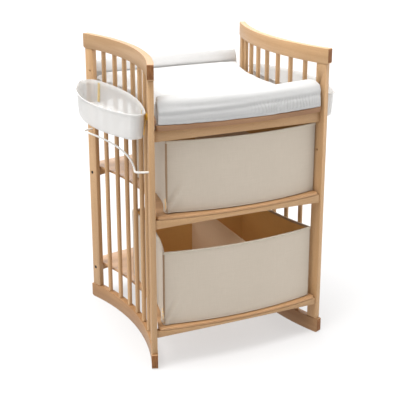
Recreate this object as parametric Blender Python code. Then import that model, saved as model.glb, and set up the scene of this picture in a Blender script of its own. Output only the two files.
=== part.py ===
"""Changing table, in metres, +Z up, front towards -Y.

Two waisted ladder panels are bolted to three bowed boards with arched aprons. A mattress lies on the
tray board, two textile boxes stand on the shelves, and two bins hang outside the panels.
"""
import math

import bmesh
import bpy
from mathutils import Matrix, Vector

# ------------------------------------------------------------------ driving dimensions
HEIGHT = 0.990
GAP = 0.0003                   # clearance between pieces that touch
Y_SHIFT = -0.020               # moves the panels' middle so that the origin is under the whole object

ARC_CENTRE = 1.058             # distance of a panel's arc centre from the middle plane
ARC_RADIUS = 0.802             # outer face of a panel, seen from above
RAIL_THICK = 0.0205
RAIL_HEIGHT = 0.050
RAIL_ANGLE = 22.0              # half of the arc that a rail covers, degrees
RAIL_LOW_ROUND = 0.008
RAIL_TOP_ROUND = 0.003

POST_ANGLE = 20.1
POST_OFFSET = 0.00125          # post's outer face behind the rail's outer face
POST_THICK = 0.018
POST_WIDTH = 0.040

SPINDLE_RADIUS = 0.00775
SPINDLE_OFFSET = 0.010
SPINDLE_STEP = 4.93
SPINDLES_EACH_SIDE = 3

BOARD_OFFSET = 0.0225
BOARD_THICK = 0.0085
BOARD_CORNER = 0.015
FRONT_MIDDLE = -0.325
FRONT_BOW = 0.028
FRONT_HALF = 0.292
BACK_MIDDLE = 0.370
BACK_BOW = 0.042
BACK_HALF = 0.285

TRAY_TOP = 0.803
TRAY_THICK = 0.018
TRAY_PROUD = 0.003
TRAY_BEVEL = 0.005

APRON_THICK = 0.020
TRAY_APRON_SETBACK = 0.012

BOLT_RADIUS = 0.003
BOLT_HEAD_RADIUS = 0.0055
BOLT_HEAD_THICK = 0.003
BOLT_IN_APRON = 0.016
BOLT_CLEARANCE = 0.0003
SPARE_HOLE_RADIUS = 0.00355
SPARE_HOLE_ANGLE = 19.8
ROD_HOLE_Z = 0.654
UPPER_HOLE_Z = 0.863

ROD_RADIUS = 0.00325
ROD_OUT = 0.0407               # rod's centre line outside the panel's outer face
ROD_BEND = 0.014
ROD_BEND_ANGLE = 1.5           # how much of the panel's turn each bend takes up
ROD_IN_POST = 0.012

MATTRESS_OFFSET = 0.028
MATTRESS_HALF_MAX = 0.287
LYING_Z = 0.845
ROLL_Z = 0.888
MATTRESS_FRONT_MIDDLE = -0.330
MATTRESS_FRONT_BOW = 0.030
MATTRESS_BACK_MIDDLE = 0.366
MATTRESS_BACK_BOW = 0.036
CREASE_Y = 0.308

BOX_OFFSET = 0.037
BOX_WALL = 0.004
BOX_FRONT_HALF = 0.262
BOX_BACK = 0.120
BOX_CORNER = 0.005
DIVIDER_THICK = 0.003
DIVIDER_GAP = 0.0006
DIVIDER_DROP = 0.003
BOX_LIFT = 0.001               # a box stands this far above its shelf

BIN_RIM_Z = 0.838
BIN_BOTTOM_Z = 0.755
BIN_MIDDLE_Y = -0.0135
BIN_HALF_LENGTH = 0.264
BIN_REACH = 0.421              # outermost point of the rim from the middle plane
BIN_ARC = 0.517
BIN_CLEAR = 0.0045
BIN_WALL = 0.0025
BIN_CORNER = 0.021

STRAP_RING_INNER = 0.0092
STRAP_RING_OUTER = 0.0112
STRAP_RING_LOW = 0.800
STRAP_RING_HIGH = 0.820
STRAP_ANGLE = 14.79
STRAP_INNER_RADIUS = 0.7988
STRAP_THICK = 0.0022
STRAP_WIDE = 0.012
STRAP_NARROW = 0.004
STRAP_TOP = 0.822
STRAP_SHOULDER = 0.797         # the full width ends here
STRAP_NECK = 0.786             # the tail's even width begins here
STRAP_BOTTOM = 0.752
STRAP_LEAN = 0.0055            # how far the tail's tip leans out, following the bin's wall

# name: board top, front apron setback, apron's lower edge at its ends and middle, bolt height and angle
LEVELS = {
    "lower_shelf": (0.1370, 0.0, 0.105, 0.120, 0.1205, 20.4),
    "middle_shelf": (0.5120, 0.0, 0.4747, 0.489, 0.490, 20.4),
    "tray": (TRAY_TOP, TRAY_APRON_SETBACK, 0.749, 0.758, 0.7705, 19.5),
}
# name: shift to the right, middle of the front, its bow, divider's place across the table, top edge
BOXES = {
    "upper_box": (0.017, -0.3095, 0.036, 0.028, 0.7455),
    "lower_box": (0.004, -0.313, 0.030, 0.015, 0.388),
}
SIDES = {"left": -1, "right": 1}
ENDS = {"front": -1, "back": 1}

FINISH = {
    "beech": ((0.60, 0.39, 0.22), 0.45, 0.0),
    "beech_board": ((0.64, 0.46, 0.34), 0.45, 0.0),
    "beech_tray": ((0.45, 0.24, 0.13), 0.45, 0.0),
    "black_steel": ((0.03, 0.03, 0.03), 0.4, 1.0),
    "white_cotton": ((0.90, 0.90, 0.90), 0.9, 0.0),
    "cream_canvas": ((0.66, 0.60, 0.51), 0.9, 0.0),
    "translucent_plastic": ((0.82, 0.80, 0.77), 0.35, 0.0),
    "orange_rubber": ((0.85, 0.45, 0.05), 0.5, 0.0),
    "white_lacquer": ((0.85, 0.85, 0.82), 0.3, 0.0),
}


# ------------------------------------------------------------------ shape helpers
def half_width(offset, y):
    """Half width between the two panels, measured `offset` inside their outer faces."""
    return ARC_CENTRE - math.sqrt((ARC_RADIUS + offset) ** 2 - y * y)


def panel_point(side, offset, degrees):
    """Point in plan on a panel, `offset` inside its outer face."""
    angle = math.radians(degrees)
    radius = ARC_RADIUS + offset
    return side * (ARC_CENTRE - radius * math.cos(angle)), radius * math.sin(angle)


def inward(side, degrees):
    """Direction in plan from a panel's outer face to the middle of the table."""
    angle = math.radians(degrees)
    return Vector((-side * math.cos(angle), math.sin(angle), 0.0))


def front_y(x):
    return FRONT_MIDDLE + FRONT_BOW * (x / FRONT_HALF) ** 2


def back_y(x):
    return BACK_MIDDLE - BACK_BOW * (x / BACK_HALF) ** 2


def spread(low, high, count):
    return [low + (high - low) * i / count for i in range(count + 1)]


def mixed(a, b, t):
    return tuple(p + (q - p) * t for p, q in zip(a, b))


def fillet(before, corner, after, reach, count):
    """Rounded corner between two straight runs, starting `reach` away from the corner."""
    corner = Vector(corner)
    start = corner + (Vector(before) - corner).normalized() * reach
    end = corner + (Vector(after) - corner).normalized() * reach
    pull = 0.5523
    first = start.lerp(corner, pull)
    second = end.lerp(corner, pull)
    points = []
    for t in spread(0.0, 1.0, count):
        a = start.lerp(first, t).lerp(first.lerp(second, t), t)
        b = first.lerp(second, t).lerp(second.lerp(end, t), t)
        points.append(tuple(a.lerp(b, t)))
    return points


def between(chain, skip_start, skip_end):
    """Evenly spaced points along a run, leaving out a length at each end."""
    lengths = [math.dist(a, b) for a, b in zip(chain, chain[1:])]
    points = []
    for target in spread(skip_start, sum(lengths) - skip_end, len(chain) - 1)[1:-1]:
        index = 0
        while index < len(lengths) - 1 and target > lengths[index]:
            target -= lengths[index]
            index += 1
        points.append(mixed(chain[index], chain[index + 1], target / lengths[index]))
    return points


def rounded_loop(chains, reach, count):
    """Closed outline from runs that meet at corners, with every corner rounded."""
    loop = []
    for index, chain in enumerate(chains):
        following = chains[(index + 1) % len(chains)]
        loop += between(chain, reach, reach)
        loop += fillet(chain[-2], chain[-1], following[1], reach, count)
    return loop


def finish_for(name, finish):
    colour, roughness, metallic = FINISH[finish]
    material = bpy.data.materials.new(f"{name}_{finish}")
    material.use_nodes = True
    shader = material.node_tree.nodes["Principled BSDF"]
    shader.inputs["Base Color"].default_value = (*colour, 1.0)
    shader.inputs["Roughness"].default_value = roughness
    shader.inputs["Metallic"].default_value = metallic
    return material


def solid(name, vertices, faces, finish):
    """One closed mesh object, with its faces turned outwards."""
    mesh = bpy.data.meshes.new(name)
    mesh.from_pydata([(x, y + Y_SHIFT, z) for x, y, z in vertices], [], faces)
    work = bmesh.new()
    work.from_mesh(mesh)
    bmesh.ops.recalc_face_normals(work, faces=work.faces)
    work.to_mesh(mesh)
    work.free()
    item = bpy.data.objects.new(name, mesh)
    bpy.context.scene.collection.objects.link(item)
    if finish:
        mesh.materials.append(finish_for(name, finish))
    else:
        item.hide_render = True
        item.display_type = "WIRE"
    return item


def loft(name, loops, finish, ring=False):
    """Skin over equal loops of points, capped at both ends, or joined end to end as a ring."""
    count = len(loops[0])
    vertices = [point for loop in loops for point in loop]
    faces = []
    pairs = len(loops) if ring else len(loops) - 1
    for i in range(pairs):
        low = i * count
        high = (i + 1) % len(loops) * count
        for j in range(count):
            k = (j + 1) % count
            faces.append((low + j, low + k, high + k, high + j))
    if not ring:
        faces.append(tuple(range(count)))
        faces.append(tuple(range(len(vertices) - count, len(vertices))))
    return solid(name, vertices, faces, finish)


def slab(name, grid, finish):
    """Closed body over a grid of (x, y, low z, high z)."""
    rows, columns = len(grid), len(grid[0])
    vertices = [(x, y, low) for row in grid for x, y, low, high in row]
    vertices += [(x, y, high) for row in grid for x, y, low, high in row]
    upper = rows * columns
    faces = []
    for i in range(rows - 1):
        for j in range(columns - 1):
            a, b = i * columns + j, (i + 1) * columns + j
            faces.append((a, b, b + 1, a + 1))
            faces.append((upper + a, upper + a + 1, upper + b + 1, upper + b))
    rim = [i * columns for i in range(rows)]
    rim += [(rows - 1) * columns + j for j in range(1, columns)]
    rim += [i * columns + columns - 1 for i in range(rows - 2, -1, -1)]
    rim += list(range(columns - 2, 0, -1))
    for a, b in zip(rim, rim[1:] + rim[:1]):
        faces.append((a, b, upper + b, upper + a))
    return solid(name, vertices, faces, finish)


def turned(profile, origin, direction, segments):
    """Vertices and faces of a body of revolution; profile is (radius, distance) from tip to tip."""
    axis = Vector(direction).normalized()
    across = axis.orthogonal().normalized()
    other = axis.cross(across)
    vertices = [tuple(Vector(origin) + axis * profile[0][1])]
    for radius, along in profile[1:-1]:
        for k in range(segments):
            turn = math.tau * k / segments
            spoke = across * math.cos(turn) + other * math.sin(turn)
            vertices.append(tuple(Vector(origin) + axis * along + spoke * radius))
    vertices.append(tuple(Vector(origin) + axis * profile[-1][1]))
    faces = []
    last = len(vertices) - 1
    rings = len(profile) - 2
    for k in range(segments):
        following = (k + 1) % segments
        faces.append((0, 1 + k, 1 + following))
        for ring in range(rings - 1):
            a, b = 1 + ring * segments, 1 + (ring + 1) * segments
            faces.append((a + k, b + k, b + following, a + following))
        top = 1 + (rings - 1) * segments
        faces.append((last, top + following, top + k))
    return vertices, faces


def rod_profile(radius, start, end):
    return [(0.0, start), (radius, start), (radius, end), (0.0, end)]


def joined(parts):
    """Several separate bodies as one list of vertices and faces, for a cutter."""
    vertices, faces = [], []
    for part_vertices, part_faces in parts:
        base = len(vertices)
        vertices += part_vertices
        faces += [tuple(base + index for index in face) for face in part_faces]
    return vertices, faces


def combine(item, tool, operation):
    step = item.modifiers.new(operation.lower(), "BOOLEAN")
    step.operation = operation
    step.solver = "EXACT"
    step.object = tool


def chamfer(item, width):
    step = item.modifiers.new("chamfer", "BEVEL")
    step.width = width
    step.segments = 1
    step.limit_method = "ANGLE"
    step.angle_limit = math.radians(35.0)


# ------------------------------------------------------------------ side panels
def make_rail(name, side, low):
    centre_radius = ARC_RADIUS + RAIL_THICK / 2
    length = 2 * math.radians(RAIL_ANGLE) * centre_radius
    near_end = [RAIL_LOW_ROUND * part for part in (0.0, 0.12, 0.4, 1.0)]
    stations = near_end + spread(0.03, length - 0.03, 16) + [length - d for d in reversed(near_end)]
    grid = []
    for station in stations:
        degrees = math.degrees(station / centre_radius) - RAIL_ANGLE
        from_end = min(station, length - station)
        low_dip = max(RAIL_LOW_ROUND - from_end, 0.0)
        top_dip = max(RAIL_TOP_ROUND - from_end, 0.0)
        bottom = low + RAIL_LOW_ROUND - math.sqrt(RAIL_LOW_ROUND ** 2 - low_dip ** 2)
        top = low + RAIL_HEIGHT - RAIL_TOP_ROUND + math.sqrt(RAIL_TOP_ROUND ** 2 - top_dip ** 2)
        row = [panel_point(side, offset, degrees) for offset in (0.0, RAIL_THICK)]
        grid.append([(x, y, bottom, top) for x, y in row])
    chamfer(slab(name, grid, "beech"), 0.0018)


def bolt_cutter(side, end, height, degrees):
    x, y = panel_point(side, POST_OFFSET, end * degrees)
    direction = inward(side, end * degrees)
    depth = POST_THICK + GAP + BOLT_IN_APRON + BOLT_CLEARANCE
    head = BOLT_HEAD_RADIUS + BOLT_CLEARANCE
    floor = BOLT_HEAD_THICK + 2 * BOLT_CLEARANCE
    hole = BOLT_RADIUS + BOLT_CLEARANCE
    profile = [(0.0, -0.004), (head, -0.004), (head, floor), (hole, floor), (hole, depth), (0.0, depth)]
    return turned(profile, (x, y, height), direction, 12)


def make_post(name, side, end):
    degrees = end * POST_ANGLE
    x, y = panel_point(side, POST_OFFSET + POST_THICK / 2, degrees)
    across = inward(side, degrees) * (POST_THICK / 2)
    along = Vector((0, 0, 1)).cross(inward(side, degrees)) * (POST_WIDTH / 2)
    low, high = RAIL_HEIGHT + GAP, HEIGHT - RAIL_HEIGHT - GAP
    grid = []
    for i in (-1, 1):
        corners = [Vector((x, y, 0)) + along * i + across * j for j in (-1, 1)]
        grid.append([(corner.x, corner.y, low, high) for corner in corners])
    post = slab(name, grid, "beech")
    chamfer(post, 0.002)
    cuts = [bolt_cutter(side, end, level[4], level[5]) for level in LEVELS.values()]
    for height in (ROD_HOLE_Z, UPPER_HOLE_Z):
        hole_x, hole_y = panel_point(side, POST_OFFSET, end * SPARE_HOLE_ANGLE)
        direction = inward(side, end * SPARE_HOLE_ANGLE)
        profile = rod_profile(SPARE_HOLE_RADIUS, -0.005, POST_THICK + 0.005)
        cuts.append(turned(profile, (hole_x, hole_y, height), direction, 12))
    combine(post, solid(f"cut_{name}", *joined(cuts), None), "DIFFERENCE")


def make_panels():
    for side_name, side in SIDES.items():
        make_rail(f"{side_name}_bottom_rail", side, 0.0)
        make_rail(f"{side_name}_top_rail", side, HEIGHT - RAIL_HEIGHT)
        for end_name, end in ENDS.items():
            make_post(f"{side_name}_{end_name}_post", side, end)
        low, high = RAIL_HEIGHT + GAP, HEIGHT - RAIL_HEIGHT - GAP
        for number in range(-SPINDLES_EACH_SIDE, SPINDLES_EACH_SIDE + 1):
            x, y = panel_point(side, SPINDLE_OFFSET, number * SPINDLE_STEP)
            body = turned(rod_profile(SPINDLE_RADIUS, low, high), (x, y, 0), (0, 0, 1), 12)
            index = number + SPINDLES_EACH_SIDE + 1
            solid(f"{side_name}_spindle_{index}", *body, "beech")


# ------------------------------------------------------------------ boards, aprons and bolts
def board_outline(front_shift, corner):
    """Plan outline of a board, its front edge moved by front_shift."""
    front_x = FRONT_HALF
    back_x = BACK_HALF
    for _ in range(8):
        front_x = half_width(BOARD_OFFSET, front_y(front_x) + front_shift)
        back_x = half_width(BOARD_OFFSET, back_y(back_x))
    front = [(x, front_y(x) + front_shift) for x in spread(-front_x, front_x, 12)]
    back = [(x, back_y(x)) for x in spread(back_x, -back_x, 12)]
    right = [(half_width(BOARD_OFFSET, y), y) for y in spread(front[-1][1], back[0][1], 12)]
    left = [(-x, y) for x, y in reversed(right)]
    return rounded_loop([front, right, back, left], corner, 4)


def make_board(name, top):
    outline = board_outline(0.0, BOARD_CORNER)
    levels = (top - BOARD_THICK, top)
    loft(name, [[(x, y, z) for x, y in outline] for z in levels], "beech_board")


def make_tray_board():
    low = board_outline(TRAY_BEVEL - TRAY_PROUD, BOARD_CORNER)
    high = board_outline(-TRAY_PROUD, BOARD_CORNER)
    bottom = [(x, y, TRAY_TOP - TRAY_THICK) for x, y in low]
    loft("tray_board", [bottom, [(x, y, TRAY_TOP) for x, y in high]], "beech_tray")


def make_apron(name, end, level):
    top_of_board, setback, low_end, low_middle, bolt_z, bolt_angle = level
    thick = TRAY_THICK if top_of_board == TRAY_TOP else BOARD_THICK
    high = top_of_board - thick - GAP
    face = -(FRONT_MIDDLE + FRONT_BOW) - setback
    post_face = POST_OFFSET + POST_THICK + GAP
    half_face = half_width(post_face, face)
    half_rear = half_width(post_face, face - APRON_THICK)
    grid = []
    for t in spread(-1.0, 1.0, 14):
        bow = FRONT_BOW * (1 - t * t)
        low = low_middle + (low_end - low_middle) * t * t
        outer = (t * half_face, end * (face + bow), low, high)
        inner = (t * half_rear, end * (face + bow - APRON_THICK), low, high)
        grid.append([outer, inner])
    apron = slab(name, grid, "beech")
    cuts = [bolt_cutter(side, end, bolt_z, bolt_angle) for side in SIDES.values()]
    combine(apron, solid(f"cut_{name}", *joined(cuts), None), "DIFFERENCE")


def make_bolt(name, side, end, height, degrees):
    x, y = panel_point(side, POST_OFFSET, end * degrees)
    start = BOLT_HEAD_THICK + BOLT_CLEARANCE
    length = POST_THICK + GAP + BOLT_IN_APRON
    profile = [(0.0, start - BOLT_HEAD_THICK), (BOLT_HEAD_RADIUS, start - BOLT_HEAD_THICK),
               (BOLT_HEAD_RADIUS, start), (BOLT_RADIUS, start), (BOLT_RADIUS, length), (0.0, length)]
    body = turned(profile, (x, y, height), inward(side, end * degrees), 12)
    solid(name, *body, "black_steel")


def make_boards():
    make_board("lower_shelf_board", LEVELS["lower_shelf"][0])
    make_board("middle_shelf_board", LEVELS["middle_shelf"][0])
    make_tray_board()
    for level_name, level in LEVELS.items():
        for end_name, end in ENDS.items():
            make_apron(f"{level_name}_{end_name}_apron", end, level)
            for side_name, side in SIDES.items():
                name = f"{level_name}_{side_name}_{end_name}_bolt"
                make_bolt(name, side, end, level[4], level[5])


def make_towel_rod():
    """White rod bent along the left panel, its two ends turned into the posts' spare holes."""
    side = SIDES["left"]
    corners = [panel_point(side, -ROD_OUT, end * SPARE_HOLE_ANGLE) for end in (-1, 1)]
    tips = [panel_point(side, POST_OFFSET + ROD_IN_POST, end * SPARE_HOLE_ANGLE) for end in (-1, 1)]
    reach = SPARE_HOLE_ANGLE - ROD_BEND_ANGLE
    run = [panel_point(side, -ROD_OUT, a) for a in spread(-reach, reach, 16)]
    path = [tips[0]] + fillet(tips[0], corners[0], run[0], ROD_BEND, 5) + run[1:-1]
    path += fillet(run[-1], corners[1], tips[1], ROD_BEND, 5) + [tips[1]]
    loops = []
    for index, point in enumerate(path):
        before = Vector(path[max(index - 1, 0)])
        after = Vector(path[min(index + 1, len(path) - 1)])
        normal = (after - before).normalized().orthogonal()
        ring = []
        for k in range(8):
            turn = math.tau * k / 8
            swing = normal * math.cos(turn) * ROD_RADIUS
            ring.append((point[0] + swing.x, point[1] + swing.y, ROD_HOLE_Z + math.sin(turn) * ROD_RADIUS))
        loops.append(ring)
    loft("towel_rod", loops, "white_lacquer")


# ------------------------------------------------------------------ mattress
def make_mattress():
    low = TRAY_TOP + GAP
    front_roll = [(0.0, -0.020), (0.006, -0.008), (0.016, -0.001), (0.028, 0.0),
                  (0.045, -0.008), (0.065, -0.024), (0.090, -0.038)]
    flat = [(0.14, LYING_Z), (0.45, LYING_Z), (0.80, LYING_Z + 0.001), (0.97, LYING_Z + 0.003)]
    back_roll = [(0.0, LYING_Z + 0.005), (0.08, 0.866), (0.3, 0.884), (0.55, ROLL_Z + 0.001),
                 (0.82, 0.882), (1.0, 0.866)]
    grid = []
    for u in spread(-1.0, 1.0, 12):
        front = MATTRESS_FRONT_MIDDLE + MATTRESS_FRONT_BOW * u * u
        back = MATTRESS_BACK_MIDDLE - MATTRESS_BACK_BOW * u * u
        line = [(front + behind, ROLL_Z + drop) for behind, drop in front_roll]
        start = front + front_roll[-1][0]
        line += [(start + (CREASE_Y - start) * t, z) for t, z in flat]
        line += [(CREASE_Y + (back - CREASE_Y) * t, z) for t, z in back_roll]
        edge = 0.006 if abs(u) == 1.0 else 0.0
        row = []
        for y, z in line:
            half = min(half_width(MATTRESS_OFFSET, y), MATTRESS_HALF_MAX)
            row.append((u * half, y, low, z - edge))
        grid.append(row)
    slab("mattress", grid, "white_cotton")


# ------------------------------------------------------------------ textile boxes
def box_outline(inset, shift, front_middle, front_bow):
    """Plan outline of a textile box, drawn in by `inset`."""
    def side_x(y):
        return half_width(BOX_OFFSET, min(y, 0.0)) - inset

    def bow_y(x):
        return front_middle + front_bow * (x / BOX_FRONT_HALF) ** 2 + inset

    front_x = BOX_FRONT_HALF
    for _ in range(8):
        front_x = side_x(bow_y(front_x))
    front = [(x, bow_y(x)) for x in spread(-front_x, front_x, 8)]
    right = [(side_x(y), y) for y in spread(front[-1][1], BOX_BACK - inset, 8)]
    back = [(x, BOX_BACK - inset) for x in spread(right[-1][0], -right[-1][0], 2)]
    left = [(-x, y) for x, y in reversed(right)]
    corner = BOX_CORNER - inset * 0.6
    loop = rounded_loop([front, right, back, left], corner, 3)
    return [(x + shift, y) for x, y in loop]


def make_box(name, low):
    shift, front_middle, front_bow, divider_x, high = BOXES[name]
    outer = box_outline(0.0, shift, front_middle, front_bow)
    inner = box_outline(BOX_WALL, shift, front_middle, front_bow)
    floor = low + BOX_WALL
    loops = [(outer, low), (outer, high), (inner, high), (inner, floor)]
    loft(name, [[(x, y, z) for x, y in loop] for loop, z in loops], "cream_canvas")
    clear = BOX_WALL + DIVIDER_GAP
    y_low = front_middle + clear + DIVIDER_GAP
    y_high = BOX_BACK - clear
    z_low, z_high = floor + DIVIDER_GAP, high - DIVIDER_DROP
    grid = []
    for x in (divider_x - DIVIDER_THICK / 2, divider_x + DIVIDER_THICK / 2):
        grid.append([(x, y, z_low, z_high) for y in (y_low, y_high)])
    slab(f"{name}_divider", grid, "cream_canvas")


# ------------------------------------------------------------------ hanging bins and straps
def bin_outline(side, inset, end_inset):
    """Plan outline of a bin: a bowed outer edge, a back that follows the panel, rounded ends."""
    arc_x = BIN_REACH - BIN_ARC

    def outer_x(y):
        return arc_x + math.sqrt((BIN_ARC - inset) ** 2 - (y - BIN_MIDDLE_Y) ** 2)

    def inner_x(y):
        return half_width(-BIN_CLEAR - inset, y)

    near = BIN_MIDDLE_Y - BIN_HALF_LENGTH + end_inset
    far = BIN_MIDDLE_Y + BIN_HALF_LENGTH - end_inset
    outer = [(outer_x(y), y) for y in spread(near, far, 14)]
    inner = [(inner_x(y), y) for y in spread(far, near, 14)]
    far_end = [mixed(outer[-1], inner[0], t) for t in (0.0, 0.5, 1.0)]
    near_end = [mixed(inner[-1], outer[0], t) for t in (0.0, 0.5, 1.0)]
    corner = BIN_CORNER - inset * 0.8
    loop = rounded_loop([outer, far_end, inner, near_end], corner, 4)
    return [(side * x, y) for x, y in loop]


def make_bin(name, side):
    shape = [
        (0.0100, 0.024, BIN_BOTTOM_Z),
        (0.0065, 0.019, BIN_BOTTOM_Z + 0.005),
        (0.0020, 0.003, BIN_RIM_Z - 0.006),
        (0.0, 0.0, BIN_RIM_Z - 0.004),
        (0.0005, 0.0005, BIN_RIM_Z),
        (0.0045, 0.0045, BIN_RIM_Z),
        (0.0045 + 0.004, 0.017 + 0.004, BIN_BOTTOM_Z + 0.010),
        (0.0105 + BIN_WALL, 0.024 + BIN_WALL, BIN_BOTTOM_Z + BIN_WALL + 0.001),
    ]
    loops = []
    for inset, end_inset, z in shape:
        loops.append([(x, y, z) for x, y in bin_outline(side, inset, end_inset)])
    loft(name, loops, "translucent_plastic")


def make_strap(name, side, end):
    """Rubber strap: a ring round a spindle, and a tapering tail down the back of the bin."""
    x, y = panel_point(side, SPINDLE_OFFSET, end * STRAP_ANGLE)
    profile = [(STRAP_RING_OUTER, STRAP_RING_LOW), (STRAP_RING_OUTER, STRAP_RING_HIGH),
               (STRAP_RING_INNER, STRAP_RING_HIGH), (STRAP_RING_INNER, STRAP_RING_LOW)]
    loops = []
    for radius, z in profile:
        turns = [math.tau * k / 16 for k in range(16)]
        loops.append([(x + radius * math.cos(a), y + radius * math.sin(a), z) for a in turns])
    ring = loft(name, loops, "orange_rubber", ring=True)
    widths = [(STRAP_NARROW, STRAP_BOTTOM), (STRAP_NARROW, STRAP_NECK), (STRAP_WIDE, STRAP_SHOULDER),
              (STRAP_WIDE, STRAP_TOP)]
    grid = []
    for face in (STRAP_INNER_RADIUS, STRAP_INNER_RADIUS + STRAP_THICK):
        column = []
        for width, z in widths:
            below = max(STRAP_SHOULDER - z, 0.0) / (STRAP_SHOULDER - STRAP_BOTTOM)
            radius = face - STRAP_LEAN * below
            swing = math.degrees(width / 2 / radius)
            near = panel_point(side, radius - ARC_RADIUS, end * STRAP_ANGLE - swing)
            far = panel_point(side, radius - ARC_RADIUS, end * STRAP_ANGLE + swing)
            column.append(((*near, z), (*far, z)))
        grid.append(column)
    inner, outer = grid
    sections = [[a[0], a[1], b[1], b[0]] for a, b in zip(inner, outer)]
    combine(ring, loft(f"tail_{name}", sections, None), "UNION")


# ------------------------------------------------------------------ build
for existing in list(bpy.data.objects):
    bpy.data.objects.remove(existing, do_unlink=True)

make_panels()
make_boards()
make_towel_rod()
make_mattress()
make_box("upper_box", LEVELS["middle_shelf"][0] + BOX_LIFT)
make_box("lower_box", LEVELS["lower_shelf"][0] + BOX_LIFT)
for side_name, side_sign in SIDES.items():
    make_bin(f"{side_name}_bin", side_sign)
    for end_name, end_sign in ENDS.items():
        make_strap(f"{side_name}_{end_name}_strap", side_sign, end_sign)
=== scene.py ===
"""Looks for the changing table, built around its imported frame. Metres, +Z up, front towards -Y."""
import math
import random

import bmesh
import bpy
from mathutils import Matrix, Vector, noise as field


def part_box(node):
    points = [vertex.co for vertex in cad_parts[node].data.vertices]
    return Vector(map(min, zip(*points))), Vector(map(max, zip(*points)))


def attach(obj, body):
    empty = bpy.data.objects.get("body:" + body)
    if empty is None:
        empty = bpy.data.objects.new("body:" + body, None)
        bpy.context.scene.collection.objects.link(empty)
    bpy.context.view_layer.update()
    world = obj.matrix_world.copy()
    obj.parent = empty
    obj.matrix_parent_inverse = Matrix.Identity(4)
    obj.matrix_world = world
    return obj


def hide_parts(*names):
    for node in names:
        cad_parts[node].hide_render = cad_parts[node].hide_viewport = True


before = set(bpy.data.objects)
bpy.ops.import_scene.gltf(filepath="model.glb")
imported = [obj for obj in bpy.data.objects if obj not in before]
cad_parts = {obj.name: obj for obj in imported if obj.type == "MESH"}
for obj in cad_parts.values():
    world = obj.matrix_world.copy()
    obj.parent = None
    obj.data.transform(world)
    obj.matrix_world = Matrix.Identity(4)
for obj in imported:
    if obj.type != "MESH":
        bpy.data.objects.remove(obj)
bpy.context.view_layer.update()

# ---- driving dimensions
CAMERA_PLACE = (-1.2657, -2.768, 1.523)
CAMERA_YAW = 0.4294            # turn to the right of +Y
CAMERA_PITCH = 0.3033          # tilt below the horizon
CAMERA_LENS = 83.13
CAMERA_SHIFT_Y = -0.10
BACKDROP_TOWARDS = (0.41, 0.91, 0.0)   # the brightest part of the studio's back wall
FLOOR_REACH = 60.0
FLOOR_Z = -0.0005

ARC_CENTRE = 1.058             # distance of a panel's arc centre from the middle plane
ARC_RADIUS = 0.802             # outer face of a panel, seen from above
MIDDLE_Y = (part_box("left_top_rail")[0].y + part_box("left_top_rail")[1].y) / 2

RAIL_THICK = 0.0205
RAIL_ANGLE = 22.0
RAIL_LOW_ROUND = 0.008
RAIL_TOP_ROUND = 0.003
RAIL_EASE = 0.0022             # softened arris

POST_ANGLE = 20.1
POST_OFFSET = 0.00125
POST_THICK = 0.018
POST_WIDTH = 0.040
POST_EASE = 0.0022

SPINDLE_RADIUS = 0.00775
SPINDLE_OFFSET = 0.010
SPINDLE_STEP = 4.93
SPINDLES_EACH_SIDE = 3

BOARD_OFFSET = 0.0225
BOARD_CORNER = 0.015
BOARD_EASE = 0.0024
FRONT_MIDDLE = -0.325
FRONT_BOW = 0.028
FRONT_HALF = 0.292
BACK_MIDDLE = 0.370
BACK_BOW = 0.042
BACK_HALF = 0.285
TRAY_PROUD = 0.003
TRAY_BEVEL = 0.005

APRON_THICK = 0.020
APRON_EASE = 0.0018
APRON_RISE = {"lower_shelf": 0.015, "middle_shelf": 0.0143, "tray": 0.009}
APRON_SETBACK = {"lower_shelf": 0.0, "middle_shelf": 0.0, "tray": 0.012}

BOLT_ANGLE = {"lower_shelf": 20.4, "middle_shelf": 20.4, "tray": 19.5}
BOLT_RADIUS = 0.003
BOLT_HEAD_RADIUS = 0.0055
BOLT_HEAD_THICK = 0.003
BOLT_LENGTH = 0.0343
BOLT_SOCKET = 0.0029
BOLT_SOCKET_DEEP = 0.0022
SPARE_HOLE_RADIUS = 0.00355
SPARE_HOLE_EASE = 0.0006
HOLE_EASE = 0.0008
SPARE_HOLE_ANGLE = 19.8
UPPER_HOLE_Z = 0.863

ROD_RADIUS = 0.00325
ROD_OUT = 0.0407
ROD_BEND = 0.014
ROD_IN_POST = 0.012
ROD_BEND_ANGLE = 1.5           # how far from the post's hole the rod's curve begins, in degrees
ROD_Z = (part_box("towel_rod")[0].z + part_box("towel_rod")[1].z) / 2

PAD_OFFSET = 0.0275
PAD_HALF_MAX = 0.2895
PAD_FRONT_MIDDLE = -0.329
PAD_FRONT_BOW = 0.030
PAD_BACK_MIDDLE = 0.365
PAD_BACK_BOW = 0.036
PAD_CREASE = 0.308
PAD_VOXEL = 0.005
PAD_CLOTH = {"quality": 6, "mass": 0.25, "tension_stiffness": 12.0, "compression_stiffness": 12.0,
             "shear_stiffness": 4.0, "bending_stiffness": 0.4, "use_pressure": True,
             "uniform_pressure_force": 4.0, "vertex_group_mass": "held"}
PAD_SWELL = 0.0028             # the furthest that the padding blows up
PAD_EDGE_DROP = {-1: 0.015, 1: 0.004}     # left and right side of the lying surface
PAD_LIMIT = 0.0215             # how near the padding may come to a panel's outer face
PAD_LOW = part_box("mattress")[0].z
PAD_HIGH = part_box("mattress")[1].z

BOX_OFFSET = 0.037
BOX_WALL = 0.004
BOX_FRONT_HALF = 0.262
BOX_BACK = 0.120
BOX_CORNER = 0.005
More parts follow.
